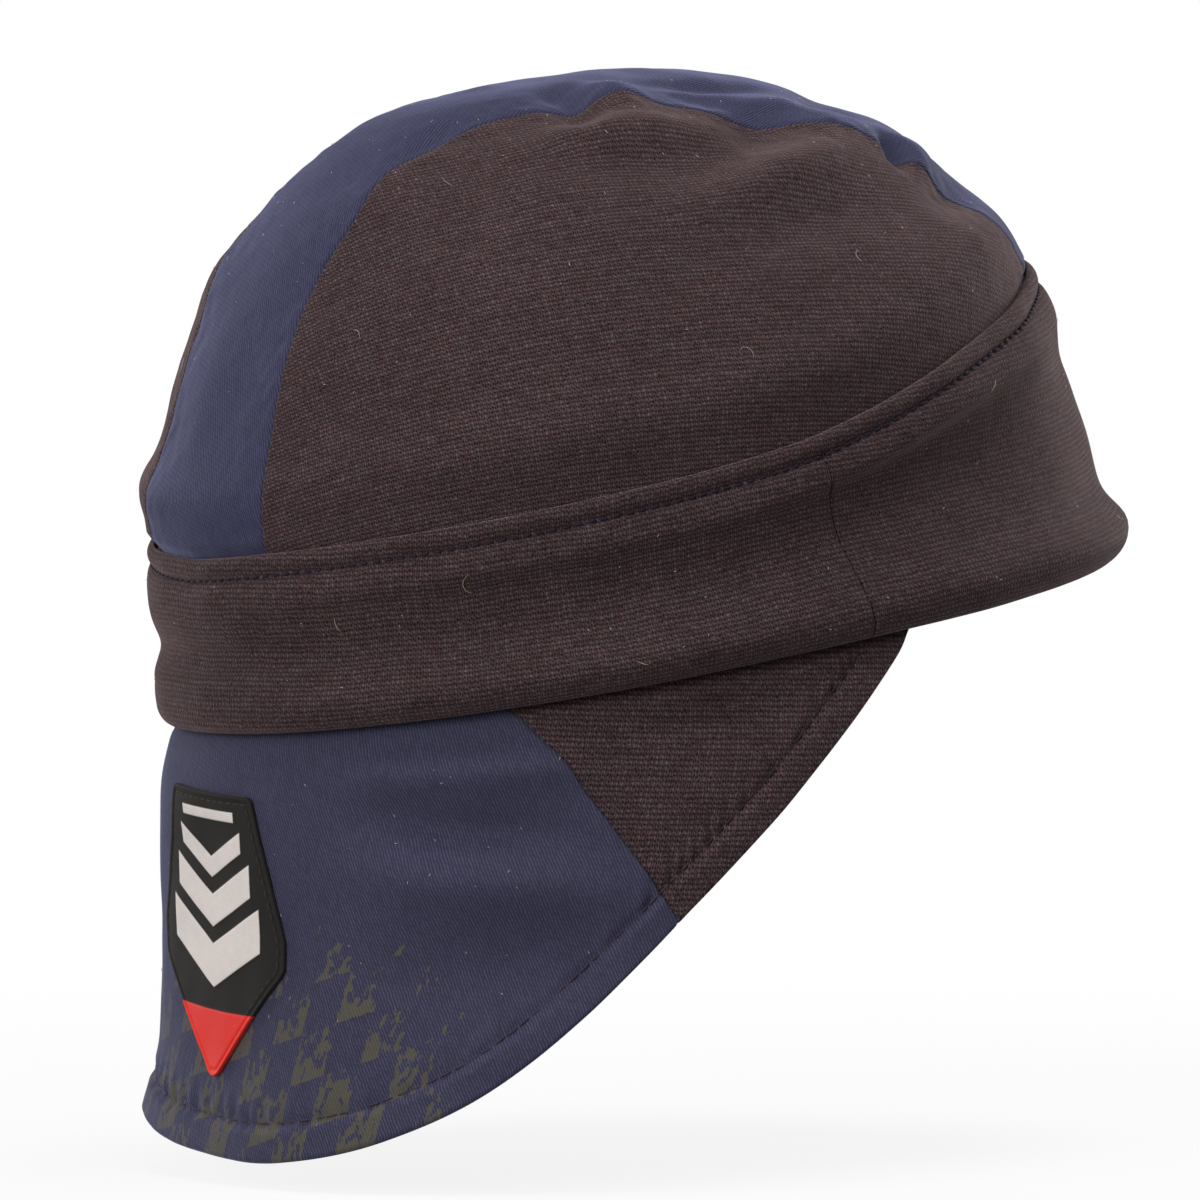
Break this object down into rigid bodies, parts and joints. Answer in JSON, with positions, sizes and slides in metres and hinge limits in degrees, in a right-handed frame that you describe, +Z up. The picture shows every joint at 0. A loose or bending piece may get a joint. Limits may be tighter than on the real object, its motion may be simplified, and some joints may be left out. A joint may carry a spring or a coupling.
{
  "type": "welding cap",
  "caption": "Close cloth cap with a navy centre strip, knitted sides and turned-up band, and a long neck flap with a plain sewn patch.",
  "frame": {"origin": "middle of the rim's opening, where the cap sits on a head", "axes": "+Z up as the cap is worn, -Y towards the front, -X towards the wearer's right"},
  "size_m": [0.165, 0.2112, 0.2188],
  "materials": {
    "navy_twill": "fine navy cotton twill, matte",
    "brown_knit": "fine brown-black jersey knit, matte",
    "band_knit": "double brown-black knit, matte",
    "printed_twill": "navy cotton twill with a worn olive-grey checker print",
    "patch": "woven black patch with pale grey and red motifs"
  },
  "bodies": {
    "root": {"crown_centre_strip": "navy_twill", "crown_side_right": "brown_knit", "crown_side_left": "brown_knit", "band_front": "band_knit", "band_back": "band_knit", "neck_flap_centre": "printed_twill", "flap_gore_right": "brown_knit", "flap_gore_left": "brown_knit", "patch": "patch"}
  },
  "joints": []
}
